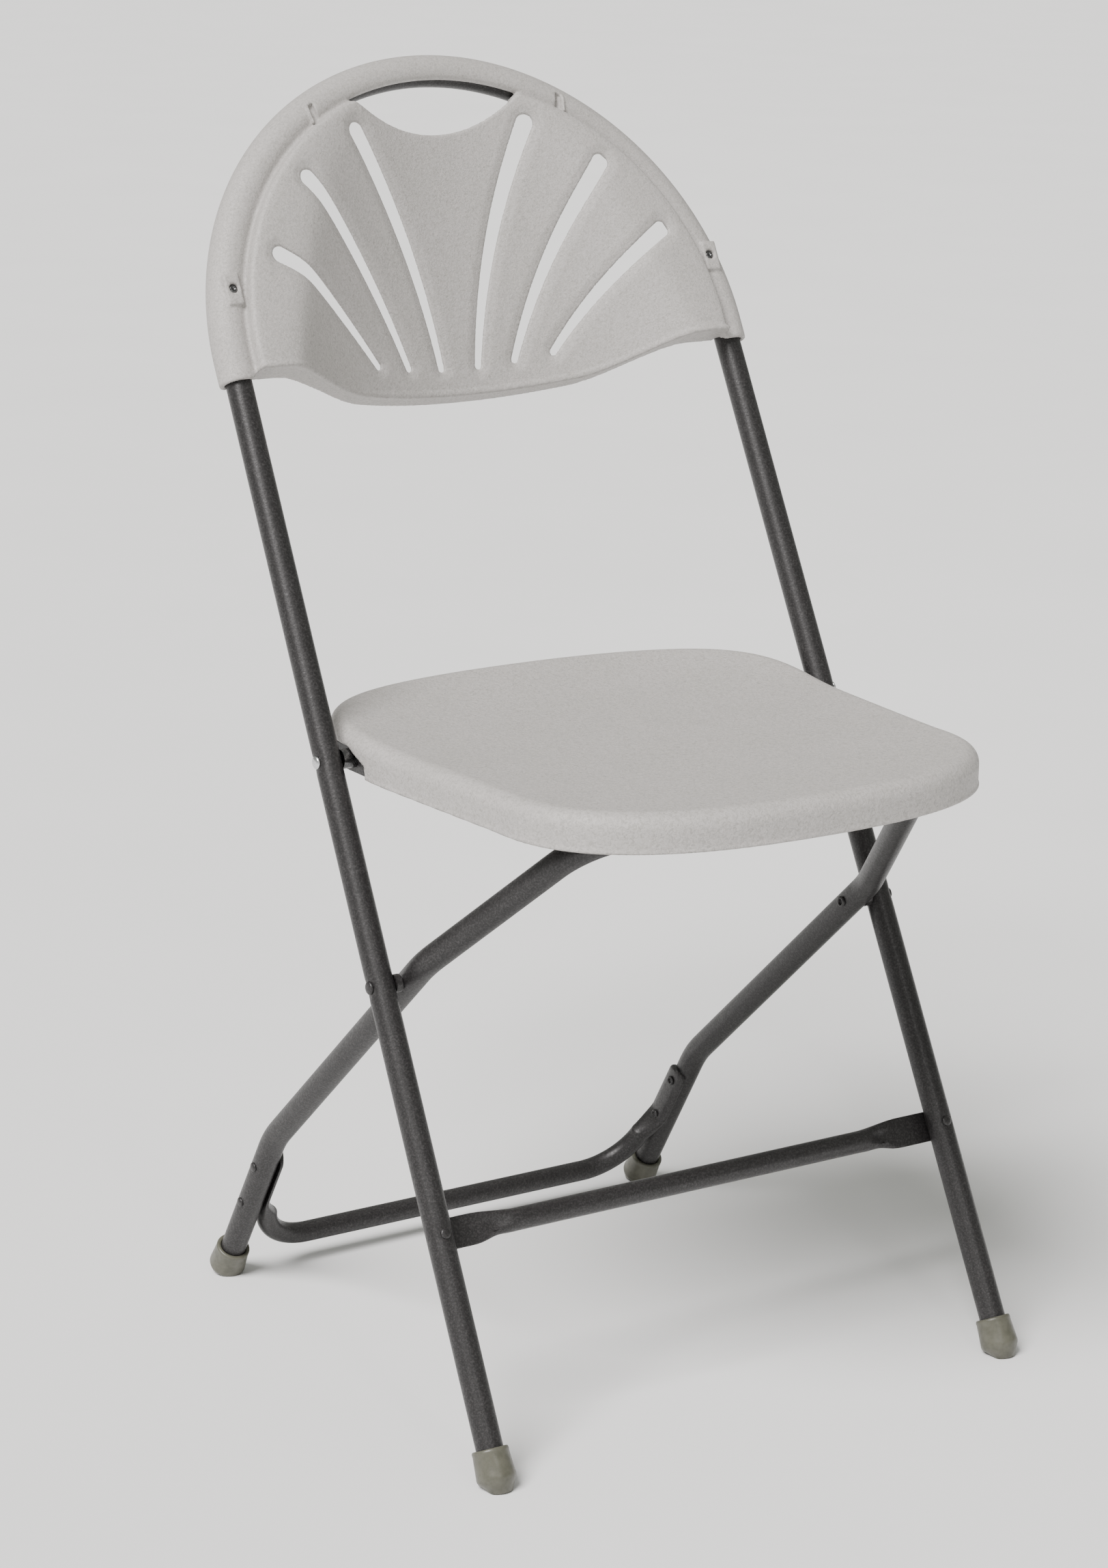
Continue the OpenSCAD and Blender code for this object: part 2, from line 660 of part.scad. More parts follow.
module seat_screws() color(zinc) seat_place() both_sides() for (p = seat_screw_places)
    translate([p[0], p[1], p[0] == bracket_screw_x ? bracket_top - bracket_t : rail_top - rail_t])
        seat_screw();

// A screw from below: its head under the steel, its shank in the seat's boss
module seat_screw() {
    translate([0, 0, -seat_head_t]) cylinder(r = seat_head_r, h = seat_head_t);
    cylinder(r = seat_screw_r, h = seat_screw_l);
}

module seat_screw_bore() cylinder(r = seat_screw_r + snug, h = seat_screw_l + 1.5);

main_frame_tube();
back_shell();
back_screws();
front_cross_brace();
front_brace_rivets();
front_foot(-1);  // front_foot_left
front_foot(1);  // front_foot_right
leg_pivot_rivet(-1);  // leg_pivot_rivet_left
leg_pivot_rivet(1);  // leg_pivot_rivet_right
leg_pivot_spacer(-1);  // leg_pivot_spacer_left
leg_pivot_spacer(1);  // leg_pivot_spacer_right
seat_pivot_rivet(-1);  // seat_pivot_rivet_left
seat_pivot_rivet(1);  // seat_pivot_rivet_right
seat_pivot_spacer(-1);  // seat_pivot_spacer_left
seat_pivot_spacer(1);  // seat_pivot_spacer_right
rear_leg_frame();
rear_cross_brace();
rear_brace_rivets();
rear_foot(-1);  // rear_foot_left
rear_foot(1);  // rear_foot_right
seat_shell();
seat_bracket(-1);  // seat_bracket_left
seat_bracket(1);  // seat_bracket_right
seat_slide_rail(-1);  // seat_slide_rail_left
seat_slide_rail(1);  // seat_slide_rail_right
seat_screws();
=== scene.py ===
"""Looks of the folding chair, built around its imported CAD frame. Sizes are in millimetres until
a mesh is made, and every piece keeps its place in its vertices, in the frame's own axes."""
import math

import bpy
import numpy as np
from mathutils import Matrix


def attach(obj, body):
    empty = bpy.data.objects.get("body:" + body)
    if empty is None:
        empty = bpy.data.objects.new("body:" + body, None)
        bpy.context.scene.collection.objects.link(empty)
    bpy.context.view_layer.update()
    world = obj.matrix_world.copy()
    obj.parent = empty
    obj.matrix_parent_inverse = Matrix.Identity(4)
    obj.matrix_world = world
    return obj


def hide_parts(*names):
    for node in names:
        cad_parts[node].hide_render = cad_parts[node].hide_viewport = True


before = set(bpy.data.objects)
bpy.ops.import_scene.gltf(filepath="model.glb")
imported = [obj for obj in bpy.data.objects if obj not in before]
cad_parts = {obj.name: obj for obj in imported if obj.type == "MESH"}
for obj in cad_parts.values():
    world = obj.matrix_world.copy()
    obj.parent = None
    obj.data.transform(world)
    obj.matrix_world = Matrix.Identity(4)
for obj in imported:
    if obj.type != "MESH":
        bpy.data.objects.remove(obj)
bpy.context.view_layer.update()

MM = 0.001

# ---------------------------------------------------------------- driving sizes

TUBE_R = 9.525
LEAN = math.radians(28)
FOOT_HALF = 217.0
ARCH_R = 210.0
ARCH_S = 797.0
SPREAD = math.atan((FOOT_HALF - ARCH_R) / ARCH_S)
LEG_END = 7.0

REAR_HALF = 190.0
REAR_LEAN = math.radians(47.4)
SHIN_LEAN = math.radians(30.7)
KNEE_DROP, NECK_RISE, BAR_RISE = 260.0, 25.5, 184.0
NECK_ANGLE = math.radians(18)
KNEE_R, NECK_R, CORNER_R = 80.0, 70.0, 42.0

LEG_PIVOT_S, SEAT_PIVOT_S = 348.0, 508.0
FRONT_BRACE_S = 174.0
BRACE_R = 8.0
SHELL_WALL = 3.0

# step of the grid that the mouldings are meshed on
GRID = 1.4

# distance from the chair's front feet back to its middle, where the frame's origin is
Y_MID = 217.13

# the brackets' outer face and thickness, and where screws hold the steel under the seat
BRACKET_X, BRACKET_T = 192.4, 2.0
SEAT_SCREWS = [(BRACKET_X - 14, y) for y in (221, 260)]
SEAT_SCREWS += [(92 + d, y) for y in (10, 90, 180) for d in (-18, 18)]


def main_half(s):
    """Half the distance between the main tubes, s up the main frame."""
    return FOOT_HALF - s * math.tan(SPREAD)


def from_plane(points):
    """Points (x, s up the tubes, n out of the front) of the main frame's plane, in the frame."""
    x, s, n = np.moveaxis(np.asarray(points, float), -1, 0)
    return np.stack([x, s * math.sin(LEAN) - n * math.cos(LEAN) - Y_MID,
                     s * math.cos(LEAN) + n * math.sin(LEAN)], -1)


def plane_direction(d):
    return from_plane(d) - from_plane((0, 0, 0))


leg_pivot = from_plane((0, LEG_PIVOT_S, 0))
seat_pivot = from_plane((0, SEAT_PIVOT_S, 0))
rear_down = np.array([0, math.sin(REAR_LEAN), -math.cos(REAR_LEAN)])
shin_up = np.array([0, -math.sin(SHIN_LEAN), math.cos(SHIN_LEAN)])
shin_front = np.array([0, -math.cos(SHIN_LEAN), -math.sin(SHIN_LEAN)])
knee = leg_pivot + KNEE_DROP * rear_down
rear_floor = knee - shin_up * knee[2] / math.cos(SHIN_LEAN)
neck = leg_pivot - NECK_RISE * rear_down
cross_bar = leg_pivot - BAR_RISE * rear_down
bar_half = REAR_HALF - (BAR_RISE - NECK_RISE) * math.tan(NECK_ANGLE)


def from_shin(points):
    """Points (x, q up the shin, w towards the front) of the rear shins' plane, in the frame."""
    p = np.asarray(points, float)
    across = p[..., :1] * np.array([1, 0, 0])
    return rear_floor + across + p[..., 1:2] * shin_up + p[..., 2:3] * shin_front


# ---------------------------------------------------------------- curves of numbers

def smooth(t):
    t = np.clip(t, 0, 1)
    return t * t * (3 - 2 * t)


def soft_min(a, b, k):
    return (a + b - np.sqrt((a - b) ** 2 + k * k)) / 2


def soft_max(a, b, k):
    return (a + b + np.sqrt((a - b) ** 2 + k * k)) / 2


def join(a, b, k):
    """Union of two distance fields, with a fillet of about k between them."""
    h = np.clip(0.5 + 0.5 * (b - a) / k, 0, 1)
    return b + (a - b) * h - k * h * (1 - h)


def cut(a, b, k):
    """Distance field a without b, the edge rounded by about k."""
    return -join(-a, b, k)


def round_corner(a, b, r):
    """Where both a and b are negative, with the edge between them rounded to radius r."""
    outside = np.hypot(np.maximum(a + r, 0), np.maximum(b + r, 0))
    return outside + np.minimum(np.maximum(a + r, b + r), 0) - r


def box_field(x, y, z, half, r):
    """Distance from a box of those half sizes, its edges rounded to r."""
    q = [np.abs(v) - h + r for v, h in zip((x, y, z), half)]
    outside = np.sqrt(sum(np.maximum(v, 0) ** 2 for v in q))
    return outside + np.minimum(np.maximum(np.maximum(q[0], q[1]), q[2]), 0) - r


# ---------------------------------------------------------------- meshes

def mesh_piece(name, vertices, faces, material, body, stands_for, slot):
    """A smooth mesh object from points in millimetres, riding on a body."""
    mesh = bpy.data.meshes.new(name)
    mesh.from_pydata((np.asarray(vertices) * MM).tolist(), [], [list(map(int, f)) for f in faces])
    mesh.validate()
    mesh.shade_smooth()
    piece = bpy.data.objects.new(name, mesh)
    bpy.context.scene.collection.objects.link(piece)
    mesh.materials.append(material)
    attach(piece, body)
    if stands_for:
        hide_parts(*stands_for)
    return piece


def skin(rings):
    """Points and faces of a closed skin through rings of points, with a flat face at each end."""
    rings = np.asarray(rings, float)
    count, around = rings.shape[:2]

    def at(i, j):
        return i * around + j % around

    faces = [(at(i, j), at(i, j + 1), at(i + 1, j + 1), at(i + 1, j))
             for i in range(count - 1) for j in range(around)]
    faces.append([at(0, j) for j in reversed(range(around))])
    faces.append([at(count - 1, j) for j in range(around)])
    return rings.reshape(-1, 3), faces


def joined(parts):
    """Several (points, faces) pairs as one."""
    points, faces, start = [], [], 0
    for p, f in parts:
        points.append(np.asarray(p))
        faces += [[i + start for i in face] for face in f]
        start += len(p)
    return np.concatenate(points), faces


def frames_along(path):
    """For each point of a path, two directions square to it that turn as little as they can."""
    path = np.asarray(path, float)
    ahead = np.gradient(path, axis=0)
    ahead /= np.linalg.norm(ahead, axis=1)[:, None]
    start = np.array([0, 0, 1.0]) if abs(ahead[0][2]) < 0.9 else np.array([0, 1.0, 0])
    sides, ups, side = [], [], np.cross(ahead[0], start)
    for d in ahead:
        side = side - d * (side @ d)
        side = side / np.linalg.norm(side)
        sides.append(side)
        ups.append(np.cross(d, side))
    return np.array(sides), np.array(ups)


def tube(path, radius, around=40):
    sides, ups = frames_along(path)
    a = np.arange(around) * 2 * math.pi / around
    ring = np.cos(a)[None, :, None] * sides[:, None] + np.sin(a)[None, :, None] * ups[:, None]
    return skin(np.asarray(path)[:, None] + radius * ring)


def lathe(profile, origin, axis, around=32):
    """A turned part: (radius, height) pairs spun about the axis through origin."""
    axis = np.asarray(axis, float) / np.linalg.norm(axis)
    side = np.cross(axis, [0, 0, 1.0] if abs(axis[2]) < 0.9 else [1.0, 0, 0])
    side /= np.linalg.norm(side)
    up = np.cross(axis, side)
    a = np.arange(around) * 2 * math.pi / around
    out = np.cos(a)[:, None] * side + np.sin(a)[:, None] * up
    return skin([origin + axis * h + out * max(r, 0.02) for r, h in profile])


def rounded(corners, radii, step=3.0):
    """A path through corner points, each inner corner turned with its own radius."""
    corners = [np.asarray(c, float) for c in corners]
    path = [corners[0]]
    for before, corner, after, r in zip(corners, corners[1:], corners[2:], radii):
        d0 = (corner - before) / np.linalg.norm(corner - before)
        d1 = (after - corner) / np.linalg.norm(after - corner)
        turn = math.acos(np.clip(d0 @ d1, -1, 1))
        reach = r * math.tan(turn / 2)
        centre_way = (d1 - d0) / np.linalg.norm(d1 - d0)
        centre = corner + centre_way * r / math.cos(turn / 2)
        start = corner - d0 * reach
        spoke = start - centre
        path += straight(path[-1], start, step)
        for k in range(1, max(4, int(r * turn / step)) + 1):
            a = turn * k / max(4, int(r * turn / step))
            path.append(centre + spoke * math.cos(a) + d0 * r * math.sin(a))
    path += straight(path[-1], corners[-1], step)
    return np.array(path)


def straight(a, b, step):
    """Points from just after a to b."""
    count = max(1, int(np.linalg.norm(b - a) / step))
    return [a + (b - a) * k / count for k in range(1, count + 1)]


def dent(points, centre, axis, radius, depth):
    """Presses a skin in around a rivet's head, on the side that axis points to."""
    axis = np.asarray(axis, float) / np.linalg.norm(axis)
    away = points - centre
    along = away @ axis
    off = np.linalg.norm(away - along[:, None] * axis, axis=1)
    push = depth * np.exp(-((off / radius) ** 4)) * (along > 0) * (off < 3 * radius)
    return points - push[:, None] * axis


def surface_net(field, low, high, step):
    """Points and quads of the surface where a distance field is 0, found on a grid of that step
    and then moved onto the surface itself."""
    axes = [np.arange(a, b + step, step) for a, b in zip(low, high)]
    value = field(*np.meshgrid(*axes, indexing="ij"))
    shape = tuple(n - 1 for n in value.shape)
    total = np.zeros((3, int(np.prod(shape))))
    count = np.zeros(int(np.prod(shape)))
    crossings = []
    for axis in range(3):
        u, v = (axis + 1) % 3, (axis + 2) % 3
        a = np.moveaxis(value, axis, 0)[:-1]
        b = np.moveaxis(value, axis, 0)[1:]
        where = np.argwhere((a < 0) != (b < 0))
        va, vb = a[tuple(where.T)], b[tuple(where.T)]
        edge = np.zeros_like(where)
        others = [d for d in range(3) if d != axis]
        edge[:, axis], edge[:, others[0]], edge[:, others[1]] = where.T
        keep = (edge[:, u] > 0) & (edge[:, v] > 0) & (edge[:, u] < shape[u]) & (edge[:, v] < shape[v])
        edge, va, vb = edge[keep], va[keep], vb[keep]
        point = edge.astype(float)
        point[:, axis] += va / (va - vb)
        around = []
        for du, dv in ((1, 1), (0, 1), (0, 0), (1, 0)):
            cell = edge.copy()
            cell[:, u] -= du
            cell[:, v] -= dv
            flat = np.ravel_multi_index(cell.T, shape)
            around.append(flat)
            count += np.bincount(flat, minlength=len(count))
            for d in range(3):
                total[d] += np.bincount(flat, weights=point[:, d], minlength=len(count))
        quad = np.stack(around, 1)
        quad[va >= 0] = quad[va >= 0][:, ::-1]
        crossings.append(quad)
    used = np.flatnonzero(count)
    number = np.full(len(count), -1)
    number[used] = np.arange(len(used))
    points = (total[:, used] / count[used]).T * step + np.array([a[0] for a in axes])
    faces = number[np.concatenate(crossings)]
    eps = 0.2
    for _ in range(3):      # three short steps towards the surface, each along the field's slope
        here = field(*points.T)
        slope = np.stack([(field(*(points + eps * e).T) - field(*(points - eps * e).T)) / (2 * eps)
                          for e in np.eye(3)], 1)
        move = here[:, None] * slope / np.maximum((slope ** 2).sum(1), 0.2)[:, None]
        far = np.linalg.norm(move, axis=1)
        points = points - move * np.minimum(1, 0.35 * step / np.maximum(far, 1e-9))[:, None]
    return points, faces


# ---------------------------------------------------------------- materials

def node_tree(name):
    material = bpy.data.materials.new(name)
    material.use_nodes = True
    tree = material.node_tree
    return material, tree, tree.nodes["Principled BSDF"]


def noise(tree, scale, detail=3.0, roughness=0.5, distortion=0.0):
    """A noise texture in object coordinates, scale in waves per metre."""
    where = tree.nodes.new("ShaderNodeTexCoord")
    texture = tree.nodes.new("ShaderNodeTexNoise")
    texture.inputs["Scale"].default_value = scale
    texture.inputs["Detail"].default_value = detail
    texture.inputs["Roughness"].default_value = roughness
    texture.inputs["Distortion"].default_value = distortion
    tree.links.new(where.outputs["Object"], texture.inputs["Vector"])
    return texture.outputs["Fac"]


def cells(tree, scale, feature="F1"):
    where = tree.nodes.new("ShaderNodeTexCoord")
    texture = tree.nodes.new("ShaderNodeTexVoronoi")
    texture.feature = feature
    texture.inputs["Scale"].default_value = scale
    tree.links.new(where.outputs["Object"], texture.inputs["Vector"])
    return texture.outputs["Distance"]


def ramp(tree, value, stops):
    """A colour ramp over a value: stops are (position, colour or grey)."""
    node = tree.nodes.new("ShaderNodeValToRGB")
    elements = node.color_ramp.elements
    while len(elements) < len(stops):
        elements.new(0.5)
    for element, (position, colour) in zip(elements, stops):
        element.position = position
        element.color = (*colour, 1) if hasattr(colour, "__len__") else (colour,) * 3 + (1,)
    tree.links.new(value, node.inputs["Fac"])
    return node.outputs["Color"]


def mixed(tree, a, b, factor, kind="MIX"):
    node = tree.nodes.new("ShaderNodeMix")
    node.data_type = "RGBA"
    node.blend_type = kind
    node.inputs["Factor"].default_value = factor
    tree.links.new(a, node.inputs["A"])
    tree.links.new(b, node.inputs["B"])
    return node.outputs["Result"]


def bumps(tree, shader, layers):
    """Stacks bump layers: (height output, distance in millimetres, strength)."""
    normal = None
    for height, distance, strength in layers:
        node = tree.nodes.new("ShaderNodeBump")
        node.inputs["Distance"].default_value = distance * MM
        node.inputs["Strength"].default_value = strength
        tree.links.new(height, node.inputs["Height"])
        if normal:
            tree.links.new(normal, node.inputs["Normal"])
        normal = node.outputs["Normal"]
    tree.links.new(normal, shader.inputs["Normal"])


def powder_coat():
    """Charcoal powder coat: a dark base with fine lighter specks and an orange-peel surface."""
    material, tree, shader = node_tree("powder_coat")
    speck = noise(tree, 750, 4, 0.65)
    tone = noise(tree, 60, 2)
    base = ramp(tree, speck, [(0.36, (0.0105, 0.0098, 0.0100)), (0.5, (0.020, 0.0188, 0.0190)),
                              (0.68, (0.046, 0.0438, 0.0444))])
    drift = ramp(tree, tone, [(0.3, 0.86), (0.7, 1.0)])
    tree.links.new(mixed(tree, base, drift, 1.0, "MULTIPLY"), shader.inputs["Base Color"])
    tree.links.new(ramp(tree, speck, [(0.3, 0.46), (0.7, 0.33)]), shader.inputs["Roughness"])
    shader.inputs["Metallic"].default_value = 0.1
    shader.inputs["Specular IOR Level"].default_value = 0.45
    bumps(tree, shader, [(noise(tree, 380, 2), 0.25, 0.5), (speck, 0.12, 0.6)])
    return material


def moulded_plastic(name, grain_scale, grain_depth):
    """Warm light grey plastic with a moulded leather grain."""
    material, tree, shader = node_tree(name)
    grain = noise(tree, grain_scale, 3, 0.55, 1.2)
    pebble = cells(tree, grain_scale * 0.9, "SMOOTH_F1")
    tone = noise(tree, 22, 3)
    base = ramp(tree, grain, [(0.3, (0.300, 0.288, 0.272)), (0.55, (0.415, 0.396, 0.384)),
                              (0.8, (0.455, 0.434, 0.422))])
    drift = ramp(tree, tone, [(0.3, (0.965, 0.97, 0.96)), (0.7, 1.0)])
    tree.links.new(mixed(tree, base, drift, 1.0, "MULTIPLY"), shader.inputs["Base Color"])
    tree.links.new(ramp(tree, grain, [(0.35, 0.62), (0.7, 0.47)]), shader.inputs["Roughness"])
    shader.inputs["Specular IOR Level"].default_value = 0.4
    bumps(tree, shader, [(grain, grain_depth, 0.7), (pebble, grain_depth * 0.7, 0.5)])
    return material


def foot_plastic():
    """Olive grey semi-gloss plastic, scuffed darker in random patches."""
    material, tree, shader = node_tree("foot_plastic")
    scuff = noise(tree, 180, 4, 0.6)
    base = ramp(tree, scuff, [(0.3, (0.066, 0.0655, 0.048)), (0.6, (0.094, 0.0925, 0.071))])
    tree.links.new(base, shader.inputs["Base Color"])
    tree.links.new(ramp(tree, scuff, [(0.35, 0.42), (0.7, 0.3)]), shader.inputs["Roughness"])
    bumps(tree, shader, [(noise(tree, 900, 2), 0.08, 0.5), (scuff, 0.15, 0.3)])
    return material


def zinc(name, dark, bright):
    """Zinc plating with a fine cloudiness, from dark to bright grey."""
    material, tree, shader = node_tree(name)
    cloud = noise(tree, 900, 3)
    base = ramp(tree, cloud, [(0.3, dark), (0.7, bright)])
    tree.links.new(base, shader.inputs["Base Color"])
    tree.links.new(ramp(tree, cloud, [(0.3, 0.34), (0.7, 0.2)]), shader.inputs["Roughness"])
    shader.inputs["Metallic"].default_value = 1.0
    bumps(tree, shader, [(cloud, 0.05, 0.4)])
    return material


def dark_hole():
    """The unlit inside of a hollow rivet."""
    material, tree, shader = node_tree("rivet_bore")
    # Faint random tone in the painted shade of the bore.
    bore_shade_noise = noise(tree, 800)
    tree.links.new(ramp(tree, bore_shade_noise, [(0.3, 0.008), (0.7, 0.02)]), shader.inputs["Base Color"])
    tree.links.new(ramp(tree, bore_shade_noise, [(0.3, 0.8), (0.7, 0.6)]), shader.inputs["Roughness"])
    bumps(tree, shader, [(noise(tree, 700), 0.1, 0.4)])
    return material


paint = powder_coat()
back_plastic = moulded_plastic("moulded_plastic_back", 620, 0.46)
seat_plastic = moulded_plastic("moulded_plastic_seat", 480, 0.56)
caps_plastic = foot_plastic()
plated = zinc("zinc_plate", (0.48, 0.49, 0.50), (0.74, 0.75, 0.75))
# A darker copy of the zinc plate: painted shade and dirt, for plated parts that sit in shade.
shaded_dirty_plated = zinc("zinc_plate_shade_and_dirt", (0.09, 0.09, 0.092), (0.17, 0.17, 0.172))
bore = dark_hole()

# ---------------------------------------------------------------- frame tubes

X = np.array([1.0, 0, 0])
PLANE_FRONT = plane_direction((0, 0, 1))
SIDES = (("left", -1), ("right", 1))


def main_tube_path():
    """Up the left leg, over the arch and down the right leg, in the main frame's plane."""
    right = [(main_half(s), s, 0) for s in np.arange(LEG_END, ARCH_S, 4)]
    turn = np.arange(0, 180.1, 1.5)
    arch = [(ARCH_R * math.cos(math.radians(a)), ARCH_S + ARCH_R * math.sin(math.radians(a)), 0)
            for a in turn]
    left = [(-x, s, n) for x, s, n in reversed(right)]
    return from_plane(right + arch + left)


def rear_tube_path():
    """Up the left rear leg, across under the seat and down the right one."""
    foot = rear_floor + shin_up * LEG_END
    half = [foot - REAR_HALF * X, knee - REAR_HALF * X, neck - REAR_HALF * X, cross_bar - bar_half * X]
    other = [p * np.array([-1, 1, 1]) for p in reversed(half)]
    return rounded(half + other, [KNEE_R, NECK_R, CORNER_R, CORNER_R, NECK_R, KNEE_R])


def build_tubes():
    points, faces = tube(main_tube_path(), TUBE_R)
    for _, side in SIDES:
        brace_rivet = from_plane((side * main_half(FRONT_BRACE_S), FRONT_BRACE_S, 0))
        points = dent(points, brace_rivet, PLANE_FRONT, 5.5, 0.9)
        points = dent(points, leg_pivot + X * side * main_half(LEG_PIVOT_S), side * X, 6.5, 0.9)
        points = dent(points, seat_pivot + X * side * main_half(SEAT_PIVOT_S), side * X, 6.5, 0.8)
    mesh_piece("main_tube", points, faces, paint, "main_frame", ["main_frame_tube"], "frame_paint")
    points, faces = tube(rear_tube_path(), TUBE_R)
    for _, side in SIDES:
        points = dent(points, leg_pivot + X * side * REAR_HALF, -side * X, 6.5, 0.8)
        for q in REAR_RIVET_Q:
            points = dent(points, from_shin((side * REAR_HALF, q, 0)), side * X, 4.5, 0.5)
    mesh_piece("rear_leg_tube", points, faces, paint, "rear_legs", ["rear_leg_frame"], "frame_paint")


# ---------------------------------------------------------------- cross braces

FLAT_HALF_W, FLAT_HALF_T = 11.0, 1.3
FRONT_BRACE_N = -TUBE_R - FLAT_HALF_T - 0.03
FRONT_BRACE_END, FRONT_FLAT, FRONT_ROUND = 220.0, 186.0, 146.0
RING_SIDES = 40
REAR_RIVET_Q = (82.0, 122.0)            # the rear brace's rivets, up the shin
REAR_BRACE_Q, REAR_BRACE_R = 26.5, 46.0
STRIP_HALF_W, STRIP_HALF_T, STRIP_TOP = 10.0, 1.5, 134.0
STRIP_X = REAR_HALF - TUBE_R - 0.03
PRESS_START, PRESS_END = 58.0, 86.0     # where the rear brace goes from round to flat


def squashed_ring(t, half_w, half_t):
    """A tube's section, pressed flat as t goes from 0 to 1: offsets along its width and thickness."""
    a = (np.arange(RING_SIDES) + 0.5) * 2 * math.pi / RING_SIDES
    square = 1 - 0.62 * t
    w = np.sign(np.cos(a)) * np.abs(np.cos(a)) ** square
    h = np.sign(np.sin(a)) * np.abs(np.sin(a)) ** square
    return w * (BRACE_R + (half_w - BRACE_R) * t), h * (BRACE_R + (half_t - BRACE_R) * t)


def build_front_brace():
    """A round tube whose pressed ends lie flat behind the legs."""
    xs = np.concatenate([[-FRONT_BRACE_END, -FRONT_BRACE_END + 0.6], np.arange(-218, -138, 2.0),
                         np.arange(-138, 138, 6.0), np.arange(138, 219, 2.0),
                         [FRONT_BRACE_END - 0.6, FRONT_BRACE_END]])
    rings = []
    for x in xs:
        t = smooth((abs(x) - FRONT_ROUND) / (FRONT_FLAT - FRONT_ROUND))
        w, h = squashed_ring(t, FLAT_HALF_W, FLAT_HALF_T)
        fold = 16 * t * t * (1 - t) ** 2        # greatest half way along the press's taper
        h = h - np.sign(h) * fold * 2.6 * np.exp(-((w / 3.5) ** 2))
        w = w + fold * 1.5 * (w < -6)
        inset = 0.55 if abs(x) == FRONT_BRACE_END else 0
        scale = 1 - inset / FLAT_HALF_W
        rings.append(from_plane(np.stack([np.full_like(w, x), FRONT_BRACE_S + w * scale,
                                          FRONT_BRACE_N + h * (1 - inset)], -1)))
    mesh_piece("front_brace_tube", *skin(rings), paint, "main_frame", ["front_cross_brace"],
               "frame_paint")


def build_rear_brace():
    """A round tube that turns up beside each shin and ends in a pressed strip nested on it."""
    line_x = STRIP_X - BRACE_R - 0.1
    strip_mid = STRIP_X - STRIP_HALF_T
    corners = [(-line_x, STRIP_TOP, 0), (-line_x, REAR_BRACE_Q, 0), (line_x, REAR_BRACE_Q, 0),
               (line_x, STRIP_TOP, 0)]
    path = rounded(corners, [REAR_BRACE_R, REAR_BRACE_R], 2.0)
    ahead = np.gradient(path, axis=0)
    ahead /= np.linalg.norm(ahead, axis=1)[:, None]
    rings = []
    for p, d in zip(path, ahead):
        q = p[1]
        t = smooth((q - PRESS_START) / (PRESS_END - PRESS_START)) if abs(p[0]) > line_x - 1 else 0.0
        w, h = squashed_ring(t, STRIP_HALF_W, STRIP_HALF_T)
        out = np.array([-d[1], d[0], 0])        # to the left of the way along, in the shin plane
        towards_leg = 1 if p[0] * out[0] > 0 else -1
        shift = (strip_mid - line_x) * t
        nest = 0.028 * w * w * t
        taper = math.sqrt(max(0.02, 1 - max(0, (q - STRIP_TOP + 7) / 7.2) ** 2))
        w = w * (1 - t + t * taper)
        offset = h + (shift + nest) * towards_leg
        rings.append(from_shin(p + offset[:, None] * out + w[:, None] * np.array([0, 0, 1.0])))
    mesh_piece("rear_brace_tube", *skin(rings), paint, "rear_legs", ["rear_cross_brace"], "frame_paint")


# ---------------------------------------------------------------- feet and rivets

CAP_PROFILE = [(0, -3), (7.2, -3), (8.6, -2.3), (12.9, 6), (13.6, 7.6), (13.75, 9), (13.6, 10.6),
               (12.6, 24.8), (12.75, 25.4), (12.75, 26.6), (12.4, 27.6), (11.7, 28), (10.5, 28),
               (9.8, 27.7), (9.56, 27), (9.56, 8), (9.4, 7.1), (0, 7.0)]


def build_feet():
    for name, side in SIDES:
        legs = (("front", from_plane((side * FOOT_HALF, 0, 0)),
                 from_plane((side * main_half(100), 100, 0)), "main_frame"),
                ("rear", rear_floor + X * side * REAR_HALF,
                 rear_floor + X * side * REAR_HALF + shin_up * 100, "rear_legs"))
        for end, foot, above, body in legs:
            points, faces = lathe(CAP_PROFILE, foot, above - foot, 48)
            points[:, 2] = np.maximum(points[:, 2], 0)
            mesh_piece(f"{end}_cap_{name}", points, faces, caps_plastic, body,
                       [f"{end}_foot_{name}"], "foot_plastic")


# radii of the rivets' heads and rolled tails, and of the bores in the tails
FRONT_HEAD_R, FRONT_TAIL_R = 3.7, 3.4
REAR_HEAD_R, REAR_TAIL_R = 3.6, 3.7
LEG_HEAD_R, LEG_TAIL_R = 4.7, 4.3
SEAT_HEAD_R, SEAT_TAIL_R = 4.65, 4.2
SHANK_R = 3.2


def head_profile(r, h):
    """A domed rivet head with a small flat on top and a rolled rim."""
    dome = [(r * math.cos(a), h * (0.18 + 0.82 * math.sin(a)))
            for a in np.radians([0, 15, 30, 45, 60, 75, 84])]
    return [(0, -0.6), (r * 0.93, -0.6), (r, 0.05)] + dome + [(0, h)]


def tail_profile(r, hole, depth):
    """The rolled end of a semi-tubular rivet, a ring around a bore."""
    roll = [(r * 0.94, 0), (r, 0.5), (r * 0.93, 1.1), (r * 0.75, 1.5), (r * 0.6, 1.45), (hole, 1.0)]
    inside = [(hole * 0.94, 0.2 - depth / 2), (hole * 0.9, -depth), (0, -depth)]
    return [(0, -0.4), (r * 0.9, -0.4)] + roll + inside


def shank_profile(length):
    return [(0, 0), (SHANK_R, 0), (SHANK_R, length), (0, length)]


